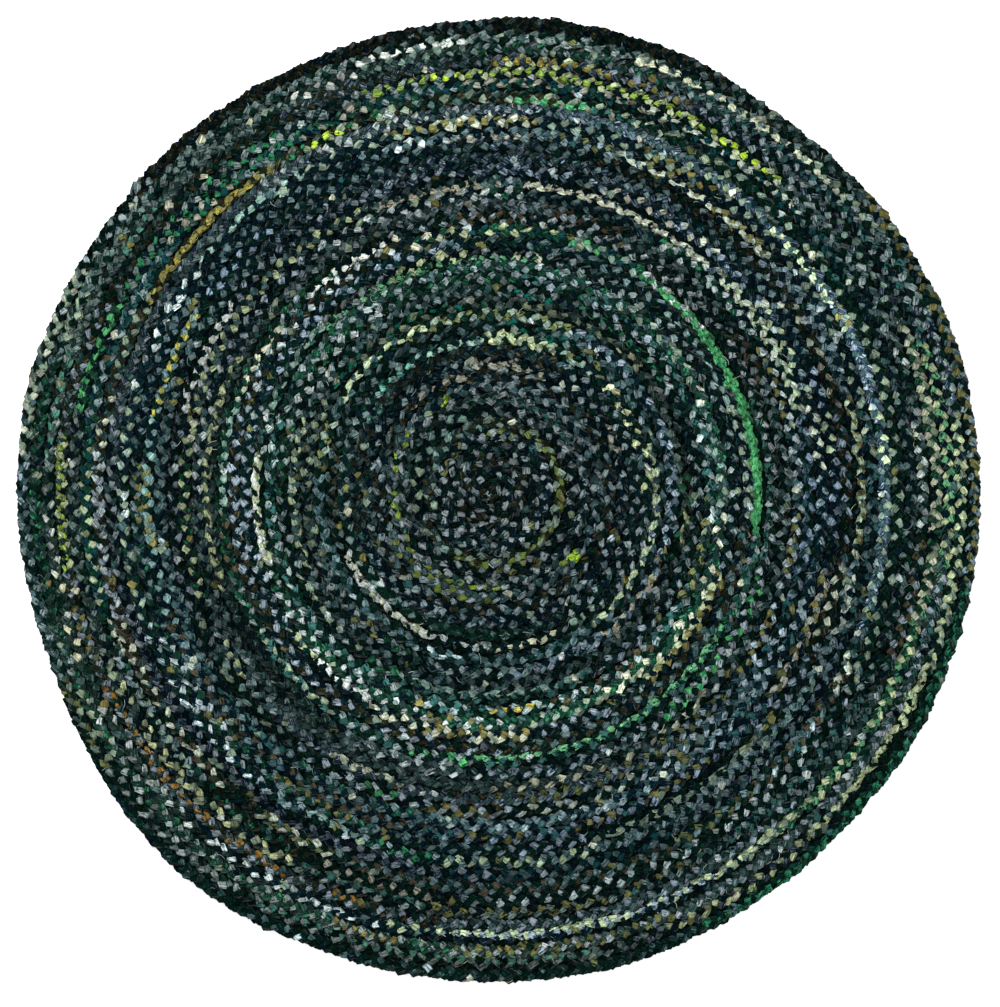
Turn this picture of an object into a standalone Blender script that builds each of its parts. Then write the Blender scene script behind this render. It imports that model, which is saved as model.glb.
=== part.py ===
"""Round braided rug: one long three-strand braid, coiled flat and stitched side to side.

Metres, +Z up. The rug lies on z = 0, with the middle of its outline's box at the origin.
The braid starts near the middle, winds outward clockwise as seen from above, and tapers to
nothing at the lower left of the outline. Each turn shows as one ridge between two grooves.
Turns are counted from the outer end inward: 0 is the braid's outer end, and a place along
the braid is a number of turns, such as 1.5 for one and a half turns further in.
"""
import math
from collections import namedtuple

import bmesh
import bpy

# Driving dimensions of the coil
TURNS = 39                       # whole turns of braid
COIL_RADIUS = 0.7568             # from the coil's middle to the last seam line, at the end
COIL_START = (-0.01273, 0.02074)   # the coil's middle, from the middle of the outline's box
COIL_DRIFT = (0.0089, -0.0171)   # how far the turns have slid off the middle at the edge
END_ANGLE = math.radians(203)    # where the braid's outer end lies, counted from +X
TAPER_TURNS = 26 / 360           # the last stretch, over which the braid thins out

# Section of the rug
CREST_HEIGHT = 0.0110            # top of a row of braid
SEAM_HEIGHT = 0.0065             # bottom of the groove between two rows
RIM_HEIGHT = 0.0042              # the widest place of the outermost row
RIM_BULGE = 0.0012               # how far the rim stands past the last seam line
SOLE_INSET = 0.0016              # how far the sole stops short of the last seam line

# How finely the turns are drawn
MOST_SAGITTA = 0.0005            # how far a straight step may cut inside the curve
FEWEST_STEPS = 12                # steps in the innermost turn

# How the real outline strays from the even coil; inner rows follow it less and less
WOBBLE_FADE = 6                  # power of the distance from the middle
EdgePoint = namedtuple("EdgePoint", "angle_deg outward_mm")
EDGE_WOBBLE = (
    EdgePoint(0, 3.6),
    EdgePoint(18, 6.0),
    EdgePoint(36, 3.8),
    EdgePoint(44, -4.5),
    EdgePoint(55, -7.8),
    EdgePoint(67, 1.2),
    EdgePoint(84, 2.0),
    EdgePoint(96, -2.5),
    EdgePoint(110, -5.0),
    EdgePoint(122, -4.0),
    EdgePoint(132, 0.2),
    EdgePoint(145, -2.2),
    EdgePoint(156, 2.6),
    EdgePoint(166, 8.2),
    EdgePoint(178, 5.6),
    EdgePoint(190, 0.4),
    EdgePoint(205, 0.6),
    EdgePoint(230, 7.6),
    EdgePoint(240, 4.3),
    EdgePoint(249, -1.6),
    EdgePoint(270, -2.2),
    EdgePoint(284, 0.0),
    EdgePoint(306, -5.0),
    EdgePoint(318, -5.2),
    EdgePoint(331, 1.3),
    EdgePoint(345, 0.6),
)

ROW_PITCH = COIL_RADIUS / (TURNS + 0.5)

RAG_COLOUR = (0.020, 0.045, 0.050, 1.0)


def edge_wobble(angle):
    """Distance by which the outline strays outward at an angle, eased between the points."""
    degrees = math.degrees(angle) % 360
    points = EDGE_WOBBLE + (EdgePoint(360, EDGE_WOBBLE[0].outward_mm),)
    for before, after in zip(points, points[1:]):
        if degrees <= after.angle_deg:
            share = (degrees - before.angle_deg) / (after.angle_deg - before.angle_deg)
            eased = share * share * (3 - 2 * share)
            return (before.outward_mm + (after.outward_mm - before.outward_mm) * eased) / 1000
    return 0.0


def turn_angle(place):
    """Angle from +X of a place along the braid; it grows towards the coil's middle."""
    return END_ANGLE + math.tau * place


def braid_width(place):
    """Share of the full width that the braid has at a place."""
    return min(1.0, place / TAPER_TURNS)


def seam_radius(place):
    """Distance from the coil's middle to the outer seam of the row at a place."""
    inner_seam = ROW_PITCH * (TURNS - 0.5 - place)
    return inner_seam + ROW_PITCH * braid_width(place)


def crest_radius(place):
    """Distance from the coil's middle to the ridge of the row at a place."""
    inner_seam = ROW_PITCH * (TURNS - 0.5 - place)
    return inner_seam + ROW_PITCH * braid_width(place) / 2


def rug_point(place, radius, height, outward=0.0):
    """A point of the rug, with the drift and the wobble of the real coil put in."""
    angle = turn_angle(place)
    share = radius / COIL_RADIUS
    reach = radius + edge_wobble(angle) * share ** WOBBLE_FADE + outward
    x = COIL_START[0] + COIL_DRIFT[0] * share + reach * math.cos(angle)
    y = COIL_START[1] + COIL_DRIFT[1] * share + reach * math.sin(angle)
    return (x, y, height)


def steps_in_turn(turn):
    """How many straight steps draw a turn, so that each one keeps close to the curve."""
    radius = ROW_PITCH * (TURNS - turn)
    half_step = math.acos(1 - MOST_SAGITTA / radius)
    return max(FEWEST_STEPS, math.ceil(math.pi / half_step))


def places_along_braid():
    """Places of all steps from the outer end inward, turn by turn."""
    turns = []
    for turn in range(TURNS):
        steps = steps_in_turn(turn)
        turns.append([turn + step / steps for step in range(steps)])
    return turns


def bridge(mesh, line, other_line):
    """Closes the strip between two lines of points that run side by side."""
    at, other_at = 0, 0
    last, other_last = len(line) - 1, len(other_line) - 1
    while at < last or other_at < other_last:
        if (at + 1) * other_last <= (other_at + 1) * last:
            corners = (line[at], line[at + 1], other_line[other_at])
            at += 1
        else:
            corners = (line[at], other_line[other_at + 1], other_line[other_at])
            other_at += 1
        if len(set(corners)) == 3:
            mesh.faces.new(corners)


def crest_height(place):
    """The ridge sinks to the seam where the braid thins out."""
    return SEAM_HEIGHT + (CREST_HEIGHT - SEAM_HEIGHT) * braid_width(place)


def coil_lines(mesh):
    """The ridge and the outer seam of each turn, as rows of points that share their ends."""
    turns = places_along_braid()
    crests = [[mesh.verts.new(rug_point(p, crest_radius(p), crest_height(p))) for p in turn]
              for turn in turns]
    seams = [[mesh.verts.new(rug_point(p, seam_radius(p), SEAM_HEIGHT)) for p in turn]
             for turn in turns]
    # The thin outer end of the braid meets the seam of the next turn in one point.
    for lines in (crests, seams):
        mesh.verts.remove(lines[0][0])
        lines[0][0] = seams[1][0]
    crests.append([mesh.verts.new(rug_point(TURNS, 0.0, CREST_HEIGHT))])
    seams.append([mesh.verts.new(rug_point(TURNS, seam_radius(TURNS), SEAM_HEIGHT))])
    for lines in (crests, seams):
        for turn, following in zip(lines, lines[1:]):
            turn.append(following[0])
    return crests, seams


def add_rows(mesh, crests, seams):
    """The two flanks of every ridge."""
    for turn in range(TURNS):
        bridge(mesh, crests[turn], seams[turn])
    for turn in range(TURNS - 1):
        bridge(mesh, seams[turn + 1], crests[turn])


def add_middle(mesh, crests, seams):
    """The start of the braid, curled up inside the innermost turn."""
    innermost = crests[TURNS - 1]
    middle = crests[TURNS][0]
    last_seam = seams[TURNS][0]
    mesh.faces.new((last_seam, innermost[0], innermost[1]))
    spokes = [last_seam] + innermost[1:-1]
    for spoke, following in zip(spokes, spokes[1:]):
        mesh.faces.new((middle, spoke, following))


def add_rim_and_sole(mesh, seams):
    """The rounded outer side of the outermost row, and the flat underside."""
    places = places_along_braid()[0]
    rim, sole = [], []
    for place in places:
        # The very end of the braid lies on the outline one turn further in.
        on_outline = place if place > 0 else 1.0
        radius = seam_radius(on_outline)
        rim.append(mesh.verts.new(rug_point(on_outline, radius, RIM_HEIGHT, RIM_BULGE)))
        sole.append(mesh.verts.new(rug_point(on_outline, radius, 0.0, -SOLE_INSET)))
    bridge(mesh, seams[0], rim + rim[:1])
    bridge(mesh, rim + rim[:1], sole + sole[:1])
    mesh.faces.new(sole)


def rag_material():
    """Worn cotton and denim rags, mostly dark."""
    material = bpy.data.materials.new("dark rag braid")
    material.use_nodes = True
    shader = material.node_tree.nodes["Principled BSDF"]
    shader.inputs["Base Color"].default_value = RAG_COLOUR
    shader.inputs["Roughness"].default_value = 0.92
    shader.inputs["Metallic"].default_value = 0.0
    return material


def build_rug():
    """The whole rug as one closed solid."""
    mesh = bmesh.new()
    crests, seams = coil_lines(mesh)
    add_rows(mesh, crests, seams)
    add_middle(mesh, crests, seams)
    add_rim_and_sole(mesh, seams)
    bmesh.ops.recalc_face_normals(mesh, faces=mesh.faces)
    data = bpy.data.meshes.new("braided_rug")
    mesh.to_mesh(data)
    mesh.free()
    data.materials.append(rag_material())
    data.shade_smooth()
    data.set_sharp_from_angle(angle=math.radians(30))
    rug = bpy.data.objects.new("braided_rug", data)
    bpy.context.collection.objects.link(rug)
    return rug


def main():
    for old in list(bpy.data.objects):
        bpy.data.objects.remove(old, do_unlink=True)
    build_rug()


main()
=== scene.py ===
"""Looks of the round braided rug: its three plaited strands of rag strip, laid along the coil.

Metres, +Z up, in the frame of the solid. The coil's numbers are those of the solid. A place
along the braid is counted in turns from its outer end inward, which is also its direction.
"""
import math
from collections import namedtuple

import bmesh
import bpy
import numpy as np
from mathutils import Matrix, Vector


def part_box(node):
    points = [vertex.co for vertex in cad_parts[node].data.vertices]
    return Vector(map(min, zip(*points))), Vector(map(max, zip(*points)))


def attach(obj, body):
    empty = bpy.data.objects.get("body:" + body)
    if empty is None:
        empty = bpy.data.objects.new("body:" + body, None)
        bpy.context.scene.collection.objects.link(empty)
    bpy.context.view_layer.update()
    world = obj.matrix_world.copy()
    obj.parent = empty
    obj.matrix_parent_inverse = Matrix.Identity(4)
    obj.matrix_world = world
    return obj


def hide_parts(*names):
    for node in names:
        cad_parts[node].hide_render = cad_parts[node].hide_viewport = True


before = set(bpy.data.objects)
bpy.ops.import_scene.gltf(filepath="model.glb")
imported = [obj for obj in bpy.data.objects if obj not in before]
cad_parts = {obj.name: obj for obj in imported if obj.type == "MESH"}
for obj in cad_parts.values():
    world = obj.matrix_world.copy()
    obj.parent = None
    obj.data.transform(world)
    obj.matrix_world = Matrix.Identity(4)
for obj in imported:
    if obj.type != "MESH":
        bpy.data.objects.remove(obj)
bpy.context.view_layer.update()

NODE = "braided_rug"
RUG_LOW, RUG_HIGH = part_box(NODE)
RUG_HEIGHT = RUG_HIGH[2] - RUG_LOW[2]

# Seeds of the random draws
ROW_SEED = 3
STRAND_SEEDS = (4, 5, 6)
THREAD_SEED = 13
FADE_SEED = 23

# ---- sizes of the coil

TURNS = 39              # whole turns of braid
COIL_RADIUS = 0.7568    # from the coil's middle to the last seam line, at the end
COIL_START = (-0.01273, 0.02074)  # the coil's middle, from the middle of the outline's box
COIL_DRIFT = (0.0089, -0.0171)  # how far the turns have slid off the middle at the edge
END_DEG = 203           # where the braid's outer end lies, counted from +X
TAPER_TURNS = 26 / 360  # the last stretch, over which the braid thins out
THINNEST = 0.16         # share of the width that is left at the very end
START_PLACE = TURNS - 0.13  # where the braid begins, close to the coil's middle
WOBBLE_FADE = 6         # inner rows follow the uneven outline less and less
ROW_PITCH = COIL_RADIUS / (TURNS + 0.5)
BRAID_LENGTH = math.pi * ROW_PITCH * (TURNS ** 2 - (TURNS - START_PLACE) ** 2)
NEARBY = 1e-4           # turns between the places that give the braid's direction

# How far the outline strays outward: the angle, and the distance in millimetres
EDGE_WOBBLE = (
    (0, 3.6), (18, 6.0), (36, 3.8), (44, -4.5), (55, -7.8), (67, 1.2), (84, 2.0), (96, -2.5),
    (110, -5.0), (122, -4.0), (132, 0.2), (145, -2.2), (156, 2.6), (166, 8.2), (178, 5.6),
    (190, 0.4), (205, 0.6), (230, 7.6), (240, 4.3), (249, -1.6), (270, -2.2), (284, 0.0),
    (306, -5.0), (318, -5.2), (331, 1.3), (345, 0.6), (360, 3.6),
)

# ---- sizes of the plait

STRANDS = 3
PERIOD = 0.0375         # length of braid after which a strand is back at its edge
SWING = 0.0062          # how far a strand's middle goes to each side of the row
DIVE = 0.0030           # how far it goes up and down
DIVE_STEEPNESS = 1.7
RAG_HALF_WIDTH = 0.0060  # of a strand where it crosses the top or the underside
RAG_HALF_THICKNESS = 0.0022
EDGE_HALF_WIDTH = 0.0042  # of a strand where it folds over at the side of the row
EDGE_HALF_THICKNESS = 0.0030
EDGE_POWER = 3          # the higher, the shorter the stretch that is folded over
FOLD_REACH = 0.4        # its face turns over where the turning angle's cosine is less
FLOOR_GAP = 0.0002
MOST_RISE = 0.0016      # how far a crumpled lobe may stand above the solid
STRAND_PLUMPNESS = (1.00, 1.00, 1.04)
CORNERS_DEG = np.array([0, 38, 142, 180, 222, 318])  # of a strand's flat section
RING_SIDES = len(CORNERS_DEG)
SHARP_DEG = 30          # folds of the rag that are sharper than this show an edge
FIRST_RING = 0.004      # metres of braid before a strand's first ring
AHEAD = 0.05            # turning angle to the points that give a strand's direction

# Where the rings of a strand lie in half a period: each lobe on the top face is one flat
# facet, between the first two; the others draw the tuck, the underside and the fold.
RING_PLACES_DEG = np.array([-71, -19, 19, 62, 89])
LOBE_MIDDLE = -0.25     # where a lobe lies highest, in half turns of the turning angle
LOBE_END = 0.35         # turning angle past the crossing where a lobe is hidden again
HIDING_START = 0.30     # how far from a lobe's middle, as a share, it begins to hide
HIDING_LENGTH = 0.45    # the share over which it does so
LEVEL_SHOWS = 0.80      # how much less a strand hides where its face stays up

# The plait is drawn tighter in one stretch and looser in the next
Pull = namedtuple("Pull", "wave_length share phase")
PULLS = (
    Pull(7.30, 0.09, 0.6),
    Pull(2.90, 0.06, 2.1),
    Pull(1.10, 0.05, 4.0),
)
SPARE_TURNS = 1.1       # a few more than an even plait has; those past its end are left out

# Spreads of the random differences between the lobes of a strand
SLIDE_SPREAD = 0.0010   # to the side
LIFT_SPREAD = 0.0006
PLUMP_SPREAD = 0.20     # of the width, as a power of e
THICK_SPREAD = 0.15     # of the thickness, as a power of e
CORNER_SPREAD = 0.24    # of each corner of the section, as a power of e
CREASE_SPREAD = 0.10    # the same, but at each ring
TILT_SPREAD = 0.25      # in radians

# What wanders along the braid: the distance between its random targets, and their spread
Drift = namedtuple("Drift", "spacing spread")
ROW_SLIDE = Drift(0.09, 0.0006)
ROW_QUICK_SLIDE = Drift(0.03, 0.0003)
ROW_LIFT = Drift(0.07, 0.0003)
PROUD_DRIFT = Drift(0.5, 0.4)
FADE_DRIFT = Drift(1.1, 0.28)  # how unevenly long stretches of the braid are faded
DYE_DRIFT = Drift(0.9, 0.09)

# How a strand lies in the wavy lines that LINES lists
PROUDEST = (0.80, 0.40, 0.30)  # how proud the lines of each strand lie
MOST_PROUD_ELSEWHERE = 0.25
PROUD_DIVE = 0.28       # how far a proud strand still goes up and down, as a share
PROUD_RISE = 0.0024     # how high it lies above the middle of the braid
STRAIGHT_SWING = 0.36   # how far a straight strand still swings, as a share
STRAIGHT_LEVEL = 0.70   # how far a straight strand keeps its face up throughout
TIGHTNESS = 0.10        # how much narrower a straight strand is, as a share
MOST_ASIDE = 0.0070     # how far it lies aside when it is right at a seam
STANCE_BLEND = 11       # rings over which one stance turns into the next

# ---- core and loose threads

# The core is a dark sheet inside the braid: painted shade in the gaps between the strands
CORE_INSET = 0.006      # how far the core stops short of the rim
CORE_FLOOR = 0.0015
CORE_SQUEEZE = 0.62     # its height, as a share of the rug's
WELD = 1e-5             # corners of the solid that are closer than this are joined

THREADS = 560           # that lie on the rug
RIM_THREADS = 30        # that stick out at its rim
THREAD_POINTS = 8
THREAD_SIDES = 3
THREAD_RADIUS = 0.00042
RADIUS_SPREAD = 0.25    # as a power of e
THREAD_STRAY = 0.008    # how far off the middle of a row a thread may begin
THREAD_STEP = (0.0010, 0.0036)  # least and most length between two points
THREAD_BEND = 0.28      # spread of a thread's bend, in radians at each point
THREAD_KINK = 0.25      # spread of the kinks between its points, in radians
THREAD_TOP = (-0.0006, 0.0010)  # least and most height of its middle above the solid
THREAD_ARCH = 0.0030    # how much lower its ends lie than its middle
RIM_PLACES = (0.02, 0.98)  # the stretch of braid that has threads at the rim
RIM_STEP = (0.0008, 0.0018)
RIM_FAN = 0.6           # spread of their directions, in radians
RIM_DEPTH = 0.0012      # how far below the top they come out
RIM_DROOP = 0.0085      # how much lower their ends hang
RIM_DROOP_POWER = 1.5
THREAD_ODDS = {"off_white": 0.34, "cream": 0.14, "pale_denim": 0.30, "tan": 0.04, "charcoal": 0.18}

# ---- layout of the skin

BAKE_ROWS = 46          # a strand's skin is laid out in this many rows
BAKE_MARGIN = 0.04      # share of a row that is left free at its sides

# ---- cloths

# The cloths: colour in bytes, the colour of the reverse or print and the share it covers,
# and how strongly the cloth is streaked
Rag = namedtuple("Rag", "red green blue print cover streak")
RAGS = {
    "navy": Rag(3, 18, 24, "slate", 0.08, 0.10),
    "pine": Rag(4, 24, 19, "bottle", 0.14, 0.10),
    "charcoal": Rag(19, 38, 35, "denim", 0.14, 0.30),
    "peat": Rag(22, 29, 19, "brown", 0.12, 0.15),
    "bottle": Rag(16, 45, 37, "emerald", 0.12, 0.20),
    "dark_teal": Rag(14, 56, 58, "navy", 0.20, 0.20),
    "teal": Rag(42, 82, 80, "pine", 0.20, 0.25),
    "sea": Rag(14, 96, 80, "bottle", 0.22, 0.20),
    "jade": Rag(76, 132, 117, "teal", 0.20, 0.25),
    "emerald": Rag(40, 106, 74, "pine", 0.20, 0.20),
    "mint": Rag(110, 140, 128, "grey_green", 0.22, 0.30),
    "leaf": Rag(88, 146, 106, "bottle", 0.20, 0.30),
    "grass": Rag(70, 142, 88, "emerald", 0.30, 0.30),
    "sage": Rag(122, 139, 113, "grey_green", 0.25, 0.40),
    "grey_green": Rag(92, 112, 110, "slate", 0.22, 0.50),
    "olive": Rag(92, 100, 64, "peat", 0.20, 0.30),
    "lime": Rag(124, 158, 62, "olive", 0.20, 0.25),
    "moss": Rag(96, 114, 50, "olive", 0.20, 0.25),
    "bright_lime": Rag(162, 198, 62, "olive", 0.10, 0.15),
    "straw": Rag(164, 178, 138, "sage", 0.24, 0.30),
    "mustard": Rag(102, 96, 60, "brown", 0.20, 0.30),
    "gold": Rag(112, 105, 60, "olive", 0.36, 0.25),
    "ochre": Rag(136, 105, 44, "brown", 0.34, 0.20),
    "bright_gold": Rag(150, 143, 62, "mustard", 0.28, 0.20),
    "brown": Rag(68, 64, 50, "peat", 0.25, 0.30),
    "tan": Rag(144, 145, 129, "brown", 0.16, 0.40),
    "cream": Rag(180, 189, 164, "tan", 0.20, 0.35),
    "white": Rag(192, 201, 194, "off_white", 0.20, 0.30),
    "off_white": Rag(170, 184, 184, "grey_green", 0.22, 0.50),
    "ash": Rag(128, 140, 142, "slate", 0.16, 0.45),
    "pale_denim": Rag(122, 139, 139, "slate", 0.20, 0.55),
    "pale_blue": Rag(128, 142, 153, "slate", 0.20, 0.55),
    "denim_blue": Rag(86, 107, 120, "slate", 0.20, 0.50),
    "denim": Rag(68, 93, 92, "navy", 0.18, 0.50),
    "slate": Rag(38, 61, 63, "denim", 0.22, 0.50),
    "indigo": Rag(16, 36, 48, "pale_blue", 0.08, 0.40),
}
CLOTH_NUMBER = {name: number for number, name in enumerate(RAGS)}

# How often each cloth comes in a strand: one strand is mostly pale, two are mostly dark
STRAND_ODDS = (
    {"off_white": 18, "pale_denim": 25, "pale_blue": 19, "grey_green": 12, "sage": 10, "ash": 6,
     "cream": 3, "mint": 3, "straw": 2},
    {"navy": 20, "pine": 18, "charcoal": 9, "bottle": 7, "dark_teal": 4, "slate": 14,
     "denim": 9, "teal": 3, "indigo": 6, "peat": 3, "grey_green": 3, "olive": 3, "brown": 2,
     "denim_blue": 4},
    {"navy": 32, "pine": 34, "peat": 7, "charcoal": 9, "bottle": 6, "indigo": 8, "dark_teal": 3},
)
SHORTEST_STRIP, LONGEST_STRIP = 0.4, 2.2

# Prints and patches: some lobes of a strip have a colour of their own
ODD_LOBES = 0.12        # their share
ODD_BELOW_LEVEL = 0.6   # there are none where a strand keeps its face up more than this
ODD_ODDS = {"navy": 28, "pine": 26, "slate": 12, "denim": 9, "sage": 6,
            "off_white": 8, "teal": 3, "gold": 2, "olive": 3, "cream": 3}

# The turns near the middle in which a strand has one cloth throughout, for each strand
WHOLE_TURNS = (
    {"ash": (30, 31, 34, 35, 36, 37, 38), "pale_denim": (28, 29)},
    {"navy": (28, 30, 36), "pine": (32, 35, 37), "peat": (29, 38)},
    {"navy": (29, 32, 34, 35, 37), "pine": (38,), "charcoal": (31,), "peat": (33, 36),
     "slate": (30,)},
)

# Strips that stand out, for each strand and cloth, read one by one: the turn they lie in, and the
# angles between which they run inward, counted from +X
ACCENTS = ({
    "pine": ((0, 203, 217), (0, 66, 90)),
    "charcoal": (
        (0, 217, 236), (0, 256, 296), (1, 160, 200), (3, 90, 150), (4, 318, 337), (11, 75, 135),
        (16, 203, 239), (21, 330, 358), (27, 240, 300), (27, 60, 203),
    ),
    "peat": ((0, 104, 137), (6, 226, 243), (7, 227, 233)),
    "bottle": ((0, 296, 349),),
    "mint": (
        (2, 92, 108), (3, 25, 40), (10, 166, 203), (13, 212, 231), (17, 57, 75), (32, 95, 165),
        (33, 95, 165),
    ),
    "sage": ((1, 203, 215), (2, 203, 215), (7, 340, 359), (7, 25, 60), (24, 64, 112), (24, 156, 174)),
    "grey_green": (
        (0, 90, 104), (2, 118, 160), (5, 260, 298), (7, 246, 330), (10, 46, 63), (11, 23, 75),
        (15, 203, 235),
    ),
    "bright_lime": ((30, 318, 324),),
    "straw": (
        (1, 292, 10), (2, 350, 20), (3, 255, 260), (3, 308, 340), (3, 76, 89), (3, 172, 190),
        (4, 48, 95), (5, 204, 241), (5, 171, 197), (7, 4, 13), (9, 262, 285), (11, 6, 14), (12, 23, 36),
        (13, 116, 148), (13, 168, 200), (17, 76, 100), (19, 95, 116), (26, 66, 91),
    ),
    "brown": ((14, 262, 270), (16, 184, 198)),
    "tan": ((5, 106, 118), (5, 130, 142), (6, 243, 262), (10, 13, 23), (12, 56, 70)),
    "cream": (
        (0, 151, 175), (2, 190, 203), (3, 340, 23), (8, 84, 100), (10, 335, 348), (10, 23, 32),
        (12, 4, 19), (12, 49, 55), (13, 275, 297), (13, 15, 45), (15, 270, 298), (17, 100, 110),
        (19, 240, 279), (20, 297, 321), (20, 324, 356), (20, 23, 29), (28, 50, 59),
    ),
    "white": ((2, 108, 118), (9, 101, 107)),
    "off_white": (
        (0, 137, 151), (1, 218, 238), (4, 355, 20), (6, 270, 321), (6, 175, 198), (7, 95, 128),
        (8, 143, 163), (9, 209, 230), (10, 203, 224), (16, 244, 269), (19, 355, 6), (21, 127, 156),
    ),
    "ash": ((32, 203, 95),),
    "pale_denim": ((2, 20, 89), (27, 300, 60)),
    "pale_blue": (
        (6, 321, 331), (7, 13, 23), (10, 127, 147), (14, 127, 155), (15, 87, 96), (19, 284, 298),
        (21, 44, 64), (21, 72, 84), (22, 305, 320), (34, 326, 355),
    ),
    "denim_blue": ((7, 68, 82),),
    "denim": ((0, 236, 256),),
    "slate": ((14, 59, 85),),
}, {
    "navy": ((14, 59, 85), (16, 203, 239), (31, 203, 23)),
    "pine": ((7, 227, 233), (18, 271, 286), (27, 203, 60), (31, 85, 203)),
    "charcoal": ((6, 153, 175),),
    "peat": ((0, 60, 140), (27, 60, 203)),
    "bottle": (
        (2, 66, 93), (4, 153, 168), (12, 232, 256), (13, 168, 200), (23, 334, 345), (24, 232, 248),
    ),
    "dark_teal": ((8, 262, 277), (8, 279, 298)),
    "teal": (
        (1, 236, 283), (5, 298, 331), (5, 142, 160), (8, 338, 16), (19, 137, 171), (21, 203, 245),
        (22, 243, 298),
    ),
    "sea": ((23, 92, 101), (25, 61, 85)),
    "emerald": (
        (4, 121, 153), (5, 115, 142), (6, 105, 123), (9, 250, 260), (22, 234, 243), (23, 345, 4),
    ),
    "leaf": ((2, 350, 20), (3, 308, 345)),
    "grass": ((13, 245, 254), (16, 306, 342), (17, 248, 267), (17, 66, 73)),
    "sage": ((0, 151, 175), (1, 312, 10), (1, 35, 49), (3, 345, 23), (5, 204, 241), (26, 66, 91)),
    "grey_green": ((1, 222, 236),),
    "olive": (
        (1, 203, 215), (2, 265, 293), (7, 234, 245), (7, 297, 312), (9, 70, 81), (14, 270, 325),
        (21, 330, 358), (24, 220, 232), (24, 64, 120), (24, 156, 174), (32, 270, 310),
    ),
    "moss": ((30, 206, 271),),
    "bright_lime": ((30, 318, 324),),
    "straw": ((13, 15, 45),),
    "gold": (
        (0, 350, 39), (3, 195, 203), (7, 25, 29), (8, 52, 66), (9, 42, 66), (10, 217, 223),
        (11, 271, 275), (11, 324, 347), (13, 258, 271), (13, 304, 308), (19, 252, 279), (19, 309, 340),
        (20, 254, 269), (26, 343, 348),
    ),
    "brown": (
        (4, 337, 355), (7, 217, 226), (7, 260, 279), (15, 23, 34), (15, 64, 80), (16, 84, 99),
        (21, 285, 317),
    ),
    "tan": ((28, 68, 99),),
    "pale_blue": ((6, 175, 198),),
    "slate": ((0, 175, 203), (2, 293, 330), (7, 205, 217)),
    "indigo": ((8, 230, 252), (10, 80, 97), (11, 53, 135), (12, 76, 123), (25, 343, 356)),
}, {
    "navy": ((0, 60, 140), (11, 53, 135)),
    "bottle": ((3, 308, 23),),
    "bright_lime": ((30, 318, 324),),
})

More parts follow.
